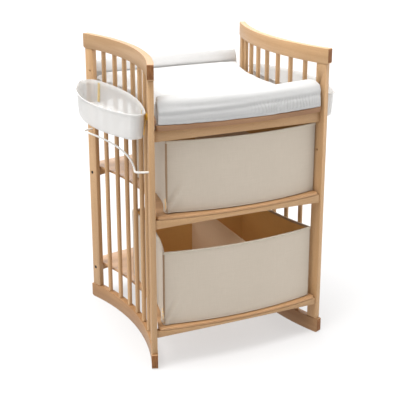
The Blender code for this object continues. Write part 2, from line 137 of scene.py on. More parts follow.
# name: shift to the right, middle of the front, its bow, seed of its sag
BOXES = {
    "upper_box": (0.017, -0.3095, 0.036, 0.0),
    "lower_box": (0.004, -0.313, 0.030, 5.0),
}
BOX_RUNS = (60, 44, 36, 44)    # points along the front, right, back and left of a box
CORNER_POINTS = 7
BOX_BELLY = 0.0022             # how far the front bulges
BOX_SIDE_PULL = 0.0025         # how far the sides draw in
CREASE_RISE = 0.0066           # the diagonal crease low at the left of a box's front
CREASE_DIP = 0.0050
BINDING_HEIGHT = 0.008
BINDING_THICK = 0.0008
TAPE_THICK = 0.0007
PIPING = 0.0011                # radius of the piped floor seam

BIN_REACH = 0.421
BIN_MIDDLE_Y = -0.0135
BIN_HALF_LENGTH = 0.264
BIN_ARC = 0.517
BIN_CLEAR = 0.0045
BIN_WALL = 0.0025
BIN_CORNER = 0.021
BIN_FOOT_ROUND = 0.010
BIN_FOOT = (0.0085, 0.0185)    # how far the wall is drawn in at the foot: sides, ends
BIN_SHOULDER = (0.0050, 0.0066)          # the same just below the rim
BIN_RIM_CENTRE = 0.0024
BIN_RIM_RADIUS = 0.0026

STRAP_ANGLE = 14.79
STRAP_INNER_RADIUS = 0.7988
STRAP_THICK = 0.0022
STRAP_RING_INNER = 0.0092
STRAP_RING_OUTER = 0.0112
STRAP_RING_LOW = 0.800
STRAP_RING_HIGH = 0.820
STRAP_WIDE = 0.012
STRAP_NARROW = 0.009
STRAP_SHOULDER = 0.798         # the full width ends about here
STRAP_NECK = 0.785             # the tail's even width begins about here
STRAP_LEAN = 0.0055            # how far the tail's tip leans out, following the bin's wall
STRAP_ROUND = 0.006            # how far the rounded top reaches down
TONGUE_WIDTH = 0.014
TONGUE_THICK = 0.0008

SIDES = {"left": -1, "right": 1}
ENDS = {"front": -1, "back": 1}
LEVELS = ("lower_shelf", "middle_shelf", "tray")
GAP = 0.0003

draw = random.Random(11)       # grain offsets of the wooden pieces


# ---- shape helpers
def panel_point(side, offset, degrees):
    """Point in plan on a panel, `offset` inside its outer face."""
    angle = math.radians(degrees)
    radius = ARC_RADIUS + offset
    return side * (ARC_CENTRE - radius * math.cos(angle)), radius * math.sin(angle) + MIDDLE_Y


def half_width(offset, y):
    """Half width between the panels at plan position y, `offset` inside their outer faces."""
    return ARC_CENTRE - math.sqrt((ARC_RADIUS + offset) ** 2 - (y - MIDDLE_Y) ** 2)


def inward(side, degrees):
    angle = math.radians(degrees)
    return Vector((-side * math.cos(angle), math.sin(angle), 0.0))


def front_y(x, middle=FRONT_MIDDLE, bow=FRONT_BOW, half=FRONT_HALF):
    return middle + bow * (x / half) ** 2 + MIDDLE_Y


def back_y(x):
    return BACK_MIDDLE - BACK_BOW * (x / BACK_HALF) ** 2 + MIDDLE_Y


def spread(low, high, count):
    return [low + (high - low) * i / count for i in range(count + 1)]


def mixed(a, b, t):
    return tuple(p + (q - p) * t for p, q in zip(a, b))


def low_and_high(name):
    """Lowest and highest z of a CAD node."""
    low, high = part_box(name)
    return low.z, high.z


def smooth_step(low, high, value):
    t = min(max((value - low) / (high - low), 0.0), 1.0)
    return t * t * (3 - 2 * t)


def hill(value, centre, width):
    return math.exp(-((value - centre) / width) ** 2)


def fillet(before, corner, after, reach, count):
    """Rounded corner between two straight runs, starting `reach` away from the corner."""
    corner = Vector(corner)
    start = corner + (Vector(before) - corner).normalized() * reach
    end = corner + (Vector(after) - corner).normalized() * reach
    first, second = start.lerp(corner, 0.5523), end.lerp(corner, 0.5523)
    points = []
    for t in spread(0.0, 1.0, count):
        a = start.lerp(first, t).lerp(first.lerp(second, t), t)
        b = first.lerp(second, t).lerp(second.lerp(end, t), t)
        points.append(tuple(a.lerp(b, t)))
    return points


def between(chain, skip_start, skip_end):
    """Evenly spaced points along a run, leaving out a length at each end."""
    lengths = [math.dist(a, b) for a, b in zip(chain, chain[1:])]
    points = []
    for target in spread(skip_start, sum(lengths) - skip_end, len(chain) - 1)[1:-1]:
        index = 0
        while index < len(lengths) - 1 and target > lengths[index]:
            target -= lengths[index]
            index += 1
        points.append(mixed(chain[index], chain[index + 1], target / lengths[index]))
    return points


def rounded_loop(chains, reach, count):
    """Closed outline from runs that meet at corners, with every corner rounded."""
    loop = []
    for index, chain in enumerate(chains):
        following = chains[(index + 1) % len(chains)]
        loop += between(chain, reach, reach)
        loop += fillet(chain[-2], chain[-1], following[1], reach, count)
    return loop


# ---- mesh helpers
def make_piece(name, vertices, faces, material):
    mesh = bpy.data.meshes.new(name)
    mesh.from_pydata(vertices, [], faces)
    work = bmesh.new()
    work.from_mesh(mesh)
    bmesh.ops.recalc_face_normals(work, faces=work.faces)
    work.to_mesh(mesh)
    work.free()
    mesh.materials.append(material)
    item = bpy.data.objects.new(name, mesh)
    bpy.context.scene.collection.objects.link(item)
    return item


def loft(name, loops, material, ring=False):
    """Skin over equal loops of points, capped at both ends, or joined end to end as a ring."""
    count = len(loops[0])
    vertices = [point for loop in loops for point in loop]
    faces = []
    for i in range(len(loops) if ring else len(loops) - 1):
        low, high = i * count, (i + 1) % len(loops) * count
        faces += [(low + j, low + (j + 1) % count, high + (j + 1) % count, high + j) for j in range(count)]
    if not ring:
        faces.append(tuple(range(count)))
        faces.append(tuple(range(len(vertices) - count, len(vertices))))
    return make_piece(name, vertices, faces, material)


def slab(name, grid, material):
    """Closed body over a grid of (x, y, low z, high z); its rim faces come last, first row's end first."""
    rows, columns = len(grid), len(grid[0])
    vertices = [(x, y, low) for row in grid for x, y, low, high in row]
    vertices += [(x, y, high) for row in grid for x, y, low, high in row]
    upper = rows * columns
    faces = []
    for i in range(rows - 1):
        for j in range(columns - 1):
            a, b = i * columns + j, (i + 1) * columns + j
            faces.append((a, b, b + 1, a + 1))
            faces.append((upper + a, upper + a + 1, upper + b + 1, upper + b))
    rim = [i * columns for i in range(rows)]
    rim += [(rows - 1) * columns + j for j in range(1, columns)]
    rim += [i * columns + columns - 1 for i in range(rows - 2, -1, -1)]
    rim += list(range(columns - 2, 0, -1))
    faces += [(a, b, upper + b, upper + a) for a, b in zip(rim, rim[1:] + rim[:1])]
    return make_piece(name, vertices, faces, material)


def wheel(across, other, segments):
    """Evenly turned unit vectors, from one direction towards another."""
    turns = [math.tau * k / segments for k in range(segments)]
    return [across * math.cos(turn) + other * math.sin(turn) for turn in turns]


def spokes(direction, segments):
    """Evenly turned unit vectors, square to a direction."""
    axis = Vector(direction).normalized()
    across = axis.orthogonal().normalized()
    return wheel(across, axis.cross(across), segments)


def turned_loops(profile, origin, direction, segments):
    """Rings of a turned body; profile is (radius, distance along the axis)."""
    centre, axis = Vector(origin), Vector(direction).normalized()
    around = spokes(direction, segments)
    return [[tuple(centre + axis * along + spoke * radius) for spoke in around] for radius, along in profile]


def tube(name, path, radius, material, sides=20):
    """Round bar along a level path of points."""
    loops = []
    for index, point in enumerate(path):
        before, after = Vector(path[max(index - 1, 0)]), Vector(path[min(index + 1, len(path) - 1)])
        run = (after - before).normalized()
        across = run.cross(Vector((0, 0, 1))).normalized()
        around = wheel(across, across.cross(run), sides)
        loops.append([tuple(Vector(point) + spoke * radius) for spoke in around])
    return loft(name, loops, material)


def bevel(item, width, segments=3):
    """Rounds the sharp edges of a piece."""
    step = item.modifiers.new("ease", "BEVEL")
    step.width = width
    step.segments = segments
    step.limit_method = "ANGLE"
    step.angle_limit = math.radians(35.0)
    step.harden_normals = True
    bake(item)


def bake(item):
    """Takes the evaluated mesh as the piece's own, and drops its modifiers."""
    graph = bpy.context.evaluated_depsgraph_get()
    mesh = bpy.data.meshes.new_from_object(item.evaluated_get(graph), depsgraph=graph)
    item.modifiers.clear()
    item.data = mesh


def drill(item, cutters):
    """Cuts turned bodies out of a piece."""
    tools = [loft(f"cutter_{index}", loops, item.data.materials[0]) for index, loops in enumerate(cutters)]
    for tool in tools:
        step = item.modifiers.new("drill", "BOOLEAN")
        step.operation = "DIFFERENCE"
        step.solver = "EXACT"
        step.object = tool
    bake(item)
    for tool in tools:
        bpy.data.objects.remove(tool, do_unlink=True)


def lay_grain(item, direction):
    """Stores each point's place along and across the grain, shifted so that no two pieces match."""
    shift = draw.uniform(0.0, 40.0)
    values = []
    for vertex in item.data.vertices:
        x, y, z = vertex.co
        if direction == "up":
            place = (z, x, y)
        elif direction == "across":
            place = (x, y, z)
        else:
            away = ARC_CENTRE - abs(x)
            turn = math.atan2(y - MIDDLE_Y, away)
            place = (turn * ARC_RADIUS, z, math.hypot(y - MIDDLE_Y, away))
        values += [place[0] + shift, place[1] + shift, place[2]]
    layer = item.data.attributes.new("grain", "FLOAT_VECTOR", "POINT")
    layer.data.foreach_set("vector", values)


def finish_wood(item, direction, name, slot="beech"):
    lay_grain(item, direction)
    settle(item, 35.0, "frame", slot, name)


def settle(item, angle, body, slot, *nodes):
    """Smooths a piece up to an angle, if one is given, hangs it under its body and hides the CAD nodes that
    it stands for; the slot is not used.
    """
    if angle:
        item.data.shade_smooth()
        item.data.set_sharp_from_angle(angle=math.radians(angle))
    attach(item, body)
    if nodes:
        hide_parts(*nodes)


# ---- material helpers
def new_material(name, **values):
    material = bpy.data.materials.new(name)
    material.use_nodes = True
    shader = material.node_tree.nodes["Principled BSDF"]
    for socket, value in values.items():
        shader.inputs[socket.replace("_", " ")].default_value = value
    return material, material.node_tree, shader


def node(tree, kind, inputs=None, **settings):
    made = tree.nodes.new(f"ShaderNode{kind}")
    for key, value in settings.items():
        setattr(made, key, value)
    for key, value in (inputs or {}).items():
        if isinstance(value, bpy.types.NodeSocket):
            tree.links.new(value, made.inputs[key])
        else:
            made.inputs[key].default_value = value
    return made


def stretched(tree, vector, stretch, detail=2.0, roughness=0.5):
    """Noise whose scale differs along the three directions."""
    mapping = node(tree, "Mapping", {"Vector": vector, "Scale": stretch})
    made = node(tree, "TexNoise", {"Vector": mapping.outputs[0], "Scale": 1.0, "Detail": detail,
                                   "Roughness": roughness})
    return made.outputs[0]


def ranged(tree, value, low, high, to_low, to_high):
    made = node(tree, "MapRange", {"Value": value, "From Min": low, "From Max": high,
                                   "To Min": to_low, "To Max": to_high})
    return made.outputs[0]


def maths(tree, operation, a, b=0.0):
    return node(tree, "Math", {0: a, 1: b}, operation=operation).outputs[0]


def mix(tree, factor, a, b):
    ends = [end if isinstance(end, bpy.types.NodeSocket) else (*end, 1.0) for end in (a, b)]
    return node(tree, "Mix", {0: factor, 6: ends[0], 7: ends[1]}, data_type="RGBA").outputs[2]


def tinted(tree, colour, other, value, low, high, most):
    """The colour, moved towards another by up to `most` as a value rises from low to high."""
    return mix(tree, ranged(tree, value, low, high, 0.0, most), colour, other)


def dress(tree, shader, colour, height, distance, strength, rough=None):
    """Connects a material's colour, bump and, where it varies, roughness."""
    tree.links.new(colour, shader.inputs["Base Color"])
    if rough is not None:
        tree.links.new(rough, shader.inputs["Roughness"])
    bump = node(tree, "Bump", {"Height": height, "Distance": distance, "Strength": strength})
    tree.links.new(bump.outputs[0], shader.inputs["Normal"])


# ---- materials
def wood(name, light, dark, fleck, roughness=0.42):
    """Beech: soft growth bands, fine streaks, short dark flecks, along the stored grain."""
    material, tree, shader = new_material(name, IOR=1.45)
    grain = node(tree, "Attribute", attribute_name="grain").outputs["Vector"]
    bands = stretched(tree, grain, (3.0, 46.0, 46.0), 3.0, 0.55)
    streaks = stretched(tree, grain, (9.0, 520.0, 520.0), 2.0, 0.6)
    tone = stretched(tree, grain, (1.2, 12.0, 12.0), 1.0)
    flecks = stretched(tree, grain, (260.0, 1700.0, 1700.0), 0.0)
    colour = tinted(tree, light, dark, bands, 0.32, 0.68, 1.0)
    colour = tinted(tree, colour, dark, streaks, 0.40, 0.72, 0.55)
    colour = tinted(tree, colour, fleck, flecks, 0.66, 0.78, 0.55)
    # Painted highlight: convex edges, found by their pointiness, are lightened towards the light tone
    painted_edge_highlight = node(tree, "NewGeometry").outputs["Pointiness"]
    colour = tinted(tree, colour, light, painted_edge_highlight, 0.52, 0.62, 0.25)
    shade_value = ranged(tree, tone, 0.35, 0.65, 0.90, 1.06)
    hue = node(tree, "HueSaturation", {"Color": colour, "Value": shade_value})
    rough = ranged(tree, streaks, 0.3, 0.7, roughness - 0.06, roughness + 0.10)
    height = maths(tree, "ADD", streaks, maths(tree, "MULTIPLY", flecks, 0.5))
    dress(tree, shader, hue.outputs[0], height, 0.00025, 0.5, rough)
    return material


def end_wood(name, light, dark):
    """Cut ends: crowded rings and pores, darker than the long grain."""
    material, tree, shader = new_material(name, Roughness=0.6, IOR=1.3)
    place = node(tree, "TexCoord").outputs["Object"]
    rings = stretched(tree, place, (260.0, 30.0, 60.0), 2.0)
    pores = stretched(tree, place, (1500.0, 1500.0, 1500.0), 1.0)
    colour = tinted(tree, light, dark, rings, 0.35, 0.65, 1.0)
    colour = tinted(tree, colour, dark, pores, 0.55, 0.75, 0.6)
    dress(tree, shader, colour, pores, 0.0002, 0.6)
    return material


def weave_height(tree, vector, pitch):
    """Crossed threads along every direction of a vector, each `pitch` apart."""
    parts = node(tree, "SeparateXYZ", {0: vector})
    waves = []
    for index in range(3):
        turn = maths(tree, "MULTIPLY", parts.outputs[index], math.tau / pitch)
        waves.append(maths(tree, "SINE", turn))
    return maths(tree, "ADD", maths(tree, "ADD", waves[0], waves[1]), waves[2])


def cloth(name, light, dark, pitch, depth, roughness=0.9, sheen=0.1, glow=0.0):
    """Woven fabric: crossed threads, slubs, faint uneven dye; glow is painted light, a faint emission
    standing in for light that soaks through.
    """
    material, tree, shader = new_material(name, Roughness=roughness, Sheen_Weight=sheen, IOR=1.4)
    place = node(tree, "TexCoord").outputs["Object"]
    threads = weave_height(tree, place, pitch)
    across = stretched(tree, place, (25.0, 25.0, 900.0), 2.0)
    upright = stretched(tree, place, (900.0, 900.0, 25.0), 2.0)
    slubs = maths(tree, "ADD", across, upright)
    cloud = stretched(tree, place, (9.0, 9.0, 9.0), 3.0)
    colour = tinted(tree, light, dark, slubs, 0.8, 1.25, 1.0)
    colour = tinted(tree, colour, dark, cloud, 0.35, 0.7, 0.5)
    # Painted glow: a faint emission in the cloth's light colour
    shader.inputs["Emission Color"].default_value = (*light, 1.0)
    shader.inputs["Emission Strength"].default_value = glow
    height = maths(tree, "ADD", maths(tree, "MULTIPLY", threads, 0.16), slubs)
    dress(tree, shader, colour, height, depth, 0.6)
    return material


def plastic(name, colour, alpha, roughness):
    """Milky moulded plastic that light gets through, with a fine spark-eroded skin."""
    material, tree, shader = new_material(name, Alpha=alpha, IOR=1.45)
    place = node(tree, "TexCoord").outputs["Object"]
    skin = stretched(tree, place, (900.0, 900.0, 900.0), 2.0)
    cloud = stretched(tree, place, (14.0, 14.0, 14.0), 2.0)
    tint = tinted(tree, colour, [c * 0.95 for c in colour], cloud, 0.35, 0.65, 1.0)
    rough = ranged(tree, skin, 0.3, 0.7, roughness - 0.05, roughness + 0.07)
    dress(tree, shader, tint, skin, 0.0001, 0.4, rough)
    return material


def coated(name, colour, roughness, metallic=0.0, coat=0.3):
    """Painted, rubbery or metal finish with fine speckle and faint handling marks."""
    material, tree, shader = new_material(name, Metallic=metallic, Coat_Weight=coat, Coat_Roughness=0.25)
    place = node(tree, "TexCoord").outputs["Object"]
    speckle = stretched(tree, place, (1300.0, 1300.0, 1300.0), 1.0)
    marks = stretched(tree, place, (60.0, 60.0, 60.0), 3.0)
    tint = tinted(tree, colour, [c * 0.82 for c in colour], marks, 0.4, 0.75, 1.0)
    rough = ranged(tree, marks, 0.3, 0.7, roughness - 0.07, roughness + 0.10)
    dress(tree, shader, tint, speckle, 0.0001, 0.5, rough)
    return material


def floor_finish():
    material, tree, shader = new_material("studio_floor", Roughness=0.9)
    place = node(tree, "TexCoord").outputs["Object"]
    mottle = stretched(tree, place, (3.0, 3.0, 3.0), 2.0)
    colour = mix(tree, mottle, (0.255, 0.255, 0.258), (0.265, 0.265, 0.268))
    tree.links.new(colour, shader.inputs["Base Color"])
    shader.inputs["Emission Color"].default_value = (1.0, 1.0, 1.0, 1.0)
    shader.inputs["Emission Strength"].default_value = 0.57
    return material


BEECH = wood("beech_wood", (0.575, 0.365, 0.195), (0.475, 0.28, 0.132), (0.22, 0.10, 0.045))
BOARD_BEECH = wood("board_wood", (0.54, 0.315, 0.158), (0.45, 0.25, 0.115), (0.24, 0.12, 0.055))
# Darker wood for the bottom rails: painted shade, as they stand low in the table's shadow
SHADED_BASE_BEECH = wood("base_wood_painted_shade", (0.39, 0.22, 0.10), (0.315, 0.16, 0.066), (0.16, 0.07, 0.03))
# Darker wood for the tray: painted shade for its edge, which faces down under the mattress
SHADED_TRAY_BEECH = wood("tray_wood", (0.39, 0.21, 0.105), (0.30, 0.15, 0.07), (0.16, 0.08, 0.035))
END_BEECH = end_wood("beech_end_wood", (0.29, 0.13, 0.05), (0.20, 0.08, 0.028))
STEEL = coated("bolt_steel", (0.035, 0.035, 0.035), 0.38, metallic=0.8, coat=0.0)
LACQUER = coated("rod_lacquer", (0.80, 0.80, 0.77), 0.28, coat=0.5)
RUBBER = coated("strap_rubber", (0.90, 0.50, 0.05), 0.45, coat=0.1)
TONGUE = coated("strap_tongue_rubber", (0.70, 0.52, 0.24), 0.5, coat=0.0)
POLYPROPYLENE = plastic("bin_plastic", (0.72, 0.715, 0.705), 0.60, 0.38)
COTTON = cloth("cotton_cover", (0.575, 0.575, 0.57), (0.54, 0.54, 0.54), 0.0009, 0.0003)
CANVAS = cloth("box_canvas", (0.595, 0.522, 0.437), (0.555, 0.487, 0.402), 0.0012, 0.00025)
# Inside faces of the boxes: the canvas in the warm colour of its shade, which is painted shade, with a faint
# painted glow
SHADED_INSIDE = cloth("box_inside_painted_shade", (0.80, 0.53, 0.22), (0.74, 0.48, 0.19), 0.0012, 0.00025, glow=0.035)
# Divider: lighter, warmer canvas with a faint painted glow, painted light that lifts it out of the box's
# shade
DIVIDER_PAINTED_LIGHT = cloth("divider_canvas_painted_light", (0.84, 0.68, 0.50), (0.78, 0.62, 0.45), 0.0012, 0.00025, glow=0.045)
BINDING = cloth("box_binding", (0.58, 0.52, 0.43), (0.54, 0.48, 0.39), 0.0010, 0.0003)
SEAM = cloth("seam_tape", (0.42, 0.30, 0.20), (0.36, 0.25, 0.16), 0.0008, 0.0002)
THREAD = cloth("sewing_thread", (0.70, 0.64, 0.55), (0.58, 0.52, 0.44), 0.0004, 0.0001)


# ---- side panels
def make_rail(name, side):
    low, high = low_and_high(name)
    centre_radius = ARC_RADIUS + RAIL_THICK / 2
    length = 2 * math.radians(RAIL_ANGLE) * centre_radius
    near_end = [RAIL_LOW_ROUND * part for part in (0.0, 0.06, 0.2, 0.42, 0.7, 1.0)]
    stations = near_end + spread(0.02, length - 0.02, 60) + [length - d for d in reversed(near_end)]
    grid = []
    for station in stations:
        degrees = math.degrees(station / centre_radius) - RAIL_ANGLE
        from_end = min(station, length - station)
        low_dip = max(RAIL_LOW_ROUND - from_end, 0.0)
        top_dip = max(RAIL_TOP_ROUND - from_end, 0.0)
        bottom = low + RAIL_LOW_ROUND - math.sqrt(RAIL_LOW_ROUND ** 2 - low_dip ** 2)
        top = high - RAIL_TOP_ROUND + math.sqrt(RAIL_TOP_ROUND ** 2 - top_dip ** 2)
        row = [panel_point(side, offset, degrees) for offset in (0.0, RAIL_THICK)]
        grid.append([(x, y, bottom, top) for x, y in row])
    # The bottom rails take the darker wood, which is painted shade
    rail = slab(f"{name}_wood", grid, SHADED_BASE_BEECH if "bottom" in name else BEECH)
    rail.data.materials.append(END_BEECH)
    for polygon in rail.data.polygons:
        square = max(abs(polygon.normal @ inward(side, e * RAIL_ANGLE).cross(Vector((0, 0, 1))))
                     for e in (-1, 1))
        near = abs(polygon.center.y - MIDDLE_Y) > centre_radius * math.sin(math.radians(RAIL_ANGLE)) - 0.004
        if square > 0.9 and near:
            polygon.material_index = 1
    bevel(rail, RAIL_EASE)
    finish_wood(rail, "round", name)


def bolt_axis(level, side_name, end_name):
    """Place of a bolt's head on its post, and the way that the bolt points."""
    low, high = low_and_high(f"{level}_{side_name}_{end_name}_bolt")
    side, turn = SIDES[side_name], ENDS[end_name] * BOLT_ANGLE[level]
    return (*panel_point(side, POST_OFFSET, turn), (low + high) / 2), inward(side, turn)


def bolt_hole(level, side_name, end_name):
    head = BOLT_HEAD_RADIUS + GAP
    floor = BOLT_HEAD_THICK + 2 * GAP
    hole = BOLT_RADIUS + GAP
    mouth = head + HOLE_EASE
    profile = [(mouth, -0.004), (mouth, 0.0), (head, HOLE_EASE), (head, floor), (hole, floor),
               (hole, BOLT_LENGTH + 2 * GAP)]
    return turned_loops(profile, *bolt_axis(level, side_name, end_name), 32)


def make_post(side_name, end_name):
    side, end = SIDES[side_name], ENDS[end_name]
    name = f"{side_name}_{end_name}_post"
    low, high = low_and_high(name)
    x, y = panel_point(side, POST_OFFSET + POST_THICK / 2, end * POST_ANGLE)
    across = inward(side, end * POST_ANGLE) * (POST_THICK / 2)
    along = Vector((0, 0, 1)).cross(inward(side, end * POST_ANGLE)) * (POST_WIDTH / 2)
    grid = []
    for i in (-1, 1):
        corners = [Vector((x, y, 0)) + along * i + across * j for j in (-1, 1)]
        grid.append([(corner.x, corner.y, low, high) for corner in corners])
    post = slab(f"{name}_wood", grid, BEECH)
    bevel(post, POST_EASE)
    cutters = [bolt_hole(level, side_name, end_name) for level in LEVELS]
    turn = end * SPARE_HOLE_ANGLE
    radius, mouth = SPARE_HOLE_RADIUS, SPARE_HOLE_RADIUS + SPARE_HOLE_EASE
    profile = [(mouth, -0.005), (mouth, 0.0), (radius, SPARE_HOLE_EASE),
               (radius, POST_THICK - SPARE_HOLE_EASE), (mouth, POST_THICK), (mouth, POST_THICK + 0.005)]
    for height in (ROD_Z, UPPER_HOLE_Z):
        place = (*panel_point(side, POST_OFFSET, turn), height)
        cutters.append(turned_loops(profile, place, inward(side, turn), 28))
    drill(post, cutters)
    finish_wood(post, "up", name)


def make_spindle(side_name, number):
    name = f"{side_name}_spindle_{number + SPINDLES_EACH_SIDE + 1}"
    low, high = low_and_high(name)
    x, y = panel_point(SIDES[side_name], SPINDLE_OFFSET, number * SPINDLE_STEP)
    ease = 0.0006
    profile = [(SPINDLE_RADIUS - ease, low), (SPINDLE_RADIUS, low + ease)]
    profile += [(SPINDLE_RADIUS, z) for z in spread(low + 0.02, high - 0.02, 10)]
    profile += [(SPINDLE_RADIUS, high - ease), (SPINDLE_RADIUS - ease, high)]
    spindle = loft(f"{name}_wood", turned_loops(profile, (x, y, 0), (0, 0, 1), 32), BEECH)
    finish_wood(spindle, "up", name)


# ---- boards, aprons and bolts
def board_outline(front_shift):
    front_x, back_x = FRONT_HALF, BACK_HALF
    for _ in range(8):
        front_x = half_width(BOARD_OFFSET, front_y(front_x) + front_shift)
        back_x = half_width(BOARD_OFFSET, back_y(back_x))
    front = [(x, front_y(x) + front_shift) for x in spread(-front_x, front_x, 40)]
    back = [(x, back_y(x)) for x in spread(back_x, -back_x, 40)]
    right = [(half_width(BOARD_OFFSET, y), y) for y in spread(front[-1][1], back[0][1], 40)]
    left = [(-x, y) for x, y in reversed(right)]
    return rounded_loop([front, right, back, left], BOARD_CORNER, 10)


def make_board(node_name, material, slot, low_shift=0.0, high_shift=0.0):
    low, high = low_and_high(node_name)
    loops = [[(x, y, low) for x, y in board_outline(low_shift)],
             [(x, y, high) for x, y in board_outline(high_shift)]]
    board = loft(f"{node_name}_wood", loops, material)
    bevel(board, BOARD_EASE)
    finish_wood(board, "across", node_name, slot)


def make_apron(level, end_name):
    name = f"{level}_{end_name}_apron"
    end = ENDS[end_name]
    low_end, high = low_and_high(name)
    face = -(FRONT_MIDDLE + FRONT_BOW) - APRON_SETBACK[level]
    post_face = POST_OFFSET + POST_THICK + GAP
    half_face = half_width(post_face, face + MIDDLE_Y)
    half_rear = half_width(post_face, face - APRON_THICK + MIDDLE_Y)
    grid = []
    for t in spread(-1.0, 1.0, 48):
        bow = FRONT_BOW * (1 - t * t)
        low = low_end + APRON_RISE[level] * (1 - t * t)
        outer = (t * half_face, end * (face + bow) + MIDDLE_Y, low, high)
        inner = (t * half_rear, end * (face + bow - APRON_THICK) + MIDDLE_Y, low, high)
        grid.append([outer, inner])
    apron = slab(f"{name}_wood", grid, BEECH)
    bevel(apron, APRON_EASE)
    drill(apron, [bolt_hole(level, side_name, end_name) for side_name in SIDES])
    finish_wood(apron, "across", name)


def hexagon_ring(radius, origin, direction, along, segments):
    """Points on a hexagon, as many as a turned ring has."""
    middle = Vector(origin) + Vector(direction).normalized() * along
    ring = []
    for k, spoke in enumerate(spokes(direction, segments)):
        within = math.tau * k / segments % (math.pi / 3) - math.pi / 6
        reach = radius * math.cos(math.pi / 6) / math.cos(within)
        ring.append(tuple(middle + spoke * reach))
    return ring


def make_bolt(level, side_name, end_name):
    """Socket-head bolt: hexagon recess, eased head, shank into the apron."""
    name = f"{level}_{side_name}_{end_name}_bolt"
    origin, direction = bolt_axis(level, side_name, end_name)
    segments = 36
    top = GAP
    floor = top + BOLT_HEAD_THICK
    recess = [hexagon_ring(BOLT_SOCKET, origin, direction, along, segments)
              for along in (top + BOLT_SOCKET_DEEP, top + 0.0003)]
    head = BOLT_HEAD_RADIUS
    profile = [(BOLT_SOCKET + 0.0006, top), (head - 0.0009, top), (head - 0.0002, top + 0.0003),
               (head, top + 0.0009), (head, floor), (BOLT_RADIUS, floor),
               (BOLT_RADIUS, BOLT_LENGTH - 0.001), (BOLT_RADIUS - 0.0008, BOLT_LENGTH)]
    bolt = loft(f"{name}_steel", recess + turned_loops(profile, origin, direction, segments), STEEL)
    settle(bolt, 35.0, "frame", "black_steel", name)


def make_towel_rod():
    side = SIDES["left"]
    corners = [panel_point(side, -ROD_OUT, end * SPARE_HOLE_ANGLE) for end in (-1, 1)]
    tips = [panel_point(side, POST_OFFSET + ROD_IN_POST, end * SPARE_HOLE_ANGLE) for end in (-1, 1)]
    curved = SPARE_HOLE_ANGLE - ROD_BEND_ANGLE
    angles = spread(-curved, curved, 48)
    run = [panel_point(side, -ROD_OUT, a) for a in angles]
    path = [tips[0]] + fillet(tips[0], corners[0], run[0], ROD_BEND, 10) + run[1:-1]
    path += fillet(run[-1], corners[1], tips[1], ROD_BEND, 10) + [tips[1]]
    rod = tube("towel_rod_bar", [(x, y, ROD_Z) for x, y in path], ROD_RADIUS, LACQUER)
    settle(rod, 50.0, "frame", "white_lacquer", "towel_rod")


# ---- padding
def pad_surface(name, lines):
    """Closed block over cross lines of (y, z), one for each place u across the table."""
    grid = []
    for u in spread(-1.0, 1.0, 40):
        row = []
        for y, z in lines(u):
            half = min(half_width(PAD_OFFSET, y), PAD_HALF_MAX)
            row.append((u * half, y, PAD_LOW, z))
        grid.append(row)
    block = slab(name, grid, COTTON)
    step = block.modifiers.new("remesh", "REMESH")
    step.mode = "VOXEL"
    step.voxel_size = PAD_VOXEL
    bake(block)
    return block


def inflate(items, cap, frames=20):
    """Blows padded covers up with cloth simulation, their undersides held, no point moving past the cap."""
    starts = []
    for item in items:
        starts.append([vertex.co.copy() for vertex in item.data.vertices])
        held = item.vertex_groups.new(name="held")
        held.add([v.index for v in item.data.vertices if v.co.z < PAD_LOW + 0.004], 1.0, "REPLACE")
        settings = item.modifiers.new("cloth", "CLOTH").settings
        for key, value in PAD_CLOTH.items():
            setattr(settings, key, value)
        settings.effector_weights.gravity = 0.0
    for step in range(1, frames + 1):
        bpy.context.scene.frame_set(step)
    graph = bpy.context.evaluated_depsgraph_get()
    for item, start in zip(items, starts):
        moved = [vertex.co.copy() for vertex in item.evaluated_get(graph).data.vertices]
        for vertex, before, after in zip(item.data.vertices, start, moved):
            move = after - before
            if move.length > cap:
                move *= cap / move.length
            vertex.co = before + move
        item.modifiers.clear()
    bpy.context.scene.frame_set(1)


def finish_pad(item, sculpt):
    """One subdivision, then folds and puckers, kept off the panels and the tray."""
    step = item.modifiers.new("subdivide", "SUBSURF")
    step.levels = 1
    step.render_levels = 1
    bake(item)
    normals = [vertex.normal.copy() for vertex in item.data.vertices]
    for vertex, normal in zip(item.data.vertices, normals):
        vertex.co += normal * sculpt(vertex.co, normal)
        limit = half_width(PAD_LIMIT, vertex.co.y)
        vertex.co.x = min(max(vertex.co.x, -limit), limit)
        vertex.co.x = min(max(vertex.co.x, -PAD_HALF_MAX - 0.001), PAD_HALF_MAX + 0.001)
        vertex.co.z = max(vertex.co.z, PAD_LOW)
    item.data.shade_smooth()


def pad_lines(u):
    """Front roll, then the lying surface, whose side edges fall away a little."""
    front = front_y(u, PAD_FRONT_MIDDLE, PAD_FRONT_BOW, 1.0)
    crest = [(0.0, -0.034), (0.002, -0.020), (0.007, -0.010), (0.016, -0.004), (0.028, -0.001),
             (0.042, -0.002), (0.062, -0.009), (0.090, -0.021), (0.120, -0.032), (0.155, -0.040)]
    roll, lying = PAD_HIGH - 0.002, PAD_HIGH - 0.044
    edge = PAD_EDGE_DROP[1 if u > 0 else -1] * smooth_step(0.82, 1.0, abs(u))
    line = [(front + behind, roll + drop - edge * smooth_step(0.03, 0.12, behind)) for behind, drop in crest]
    start, end = line[-1][0], PAD_CREASE + MIDDLE_Y - 0.002
    line += [(start + (end - start) * t, lying - edge) for t in spread(0.0, 1.0, 24)[1:]]
    return line


def bolster_lines(u):
    back = PAD_BACK_MIDDLE - PAD_BACK_BOW * u * u + MIDDLE_Y
    start = PAD_CREASE + MIDDLE_Y + 0.002
    roll = PAD_HIGH - 0.0005
    shape = [(0.0, -0.036), (0.14, -0.028), (0.34, -0.017), (0.56, -0.007), (0.76, -0.001), (0.88, 0.0),
             (1.0, -0.010)]
    return [(start + (back - start) * t, roll + drop) for t, drop in shape]


